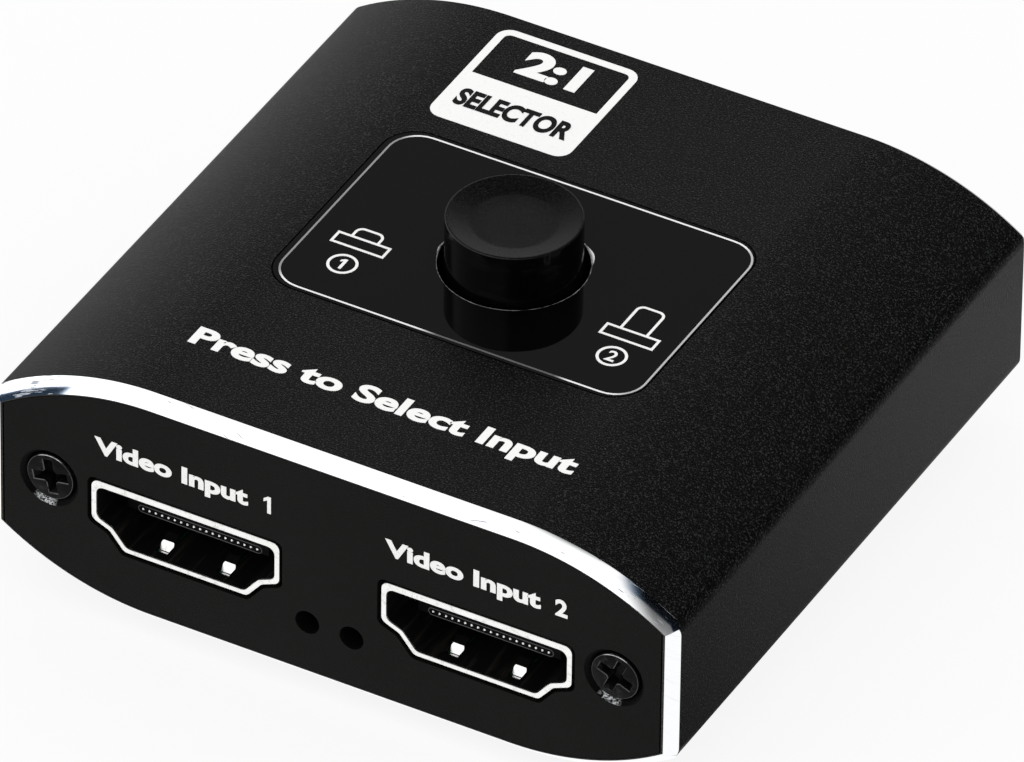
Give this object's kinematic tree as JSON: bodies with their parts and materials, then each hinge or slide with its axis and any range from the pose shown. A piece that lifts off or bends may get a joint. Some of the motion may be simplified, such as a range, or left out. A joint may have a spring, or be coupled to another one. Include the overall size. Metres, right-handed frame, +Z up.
{
  "type": "video switch box",
  "caption": "Flat extruded metal switch box with input sockets on its front, an output socket behind and a latching push button in a glossy panel on top.",
  "frame": {"origin": "on the floor, under the middle of the housing", "axes": "+X across the front to the right as seen from the front, +Y from front to rear, +Z up along the button's travel"},
  "size_m": [0.054, 0.052, 0.0251],
  "materials": {
    "black_aluminium": "black anodised over a fine blasted surface, bright cut bevels",
    "plate_black": "satin black",
    "foot_rubber": "moulded",
    "gloss_black": "polished",
    "black_steel": "black oxide",
    "board_green": "solder mask",
    "plated_steel": "nickel plated",
    "socket_black": "moulded",
    "contact_gold": "gold plated",
    "button_black": "satin top and glossy side",
    "switch_black": "moulded",
    "slider_white": "moulded",
    "spring_steel": "drawn wire",
    "lamp_clear": "tinted clear",
    "chip_black": "moulded",
    "chip_tan": "fired"
  },
  "bodies": {
    "base": {"housing": "black_aluminium", "rubber_feet": "foot_rubber", "control_overlay": "gloss_black", "front_plate": "plate_black", "rear_plate": "plate_black", "front_screws": "black_steel", "rear_screws": "black_steel", "circuit_board": "board_green", "input_1_shell": "plated_steel", "input_1_insulator": "socket_black", "input_1_contacts": "contact_gold", "input_2_shell": "plated_steel", "input_2_insulator": "socket_black", "input_2_contacts": "contact_gold", "output_shell": "plated_steel", "output_insulator": "socket_black", "output_contacts": "contact_gold", "switch_case": "switch_black", "switch_cover": "plated_steel", "return_spring": "spring_steel", "latch_wire": "spring_steel", "switch_terminals": "contact_gold", "indicator_lamp_1": "lamp_clear", "indicator_lamp_2": "lamp_clear", "lamp_leads": "plated_steel", "selector_chip": "chip_black", "regulator_chip": "chip_black", "chip_capacitors": "chip_tan", "chip_resistors": "chip_black"},
    "button": {"button_cap": "button_black", "switch_slider": "slider_white", "sliding_contacts": "contact_gold"}
  },
  "joints": [
    {"name": "button_press", "type": "slide", "parent": "base", "child": "button", "axis": [0, 0, -1], "range_m": [0, 0.0025], "stiffness_N_per_m": 400, "springref_m": -0.0002, "deforming": ["return_spring"]}
  ]
}
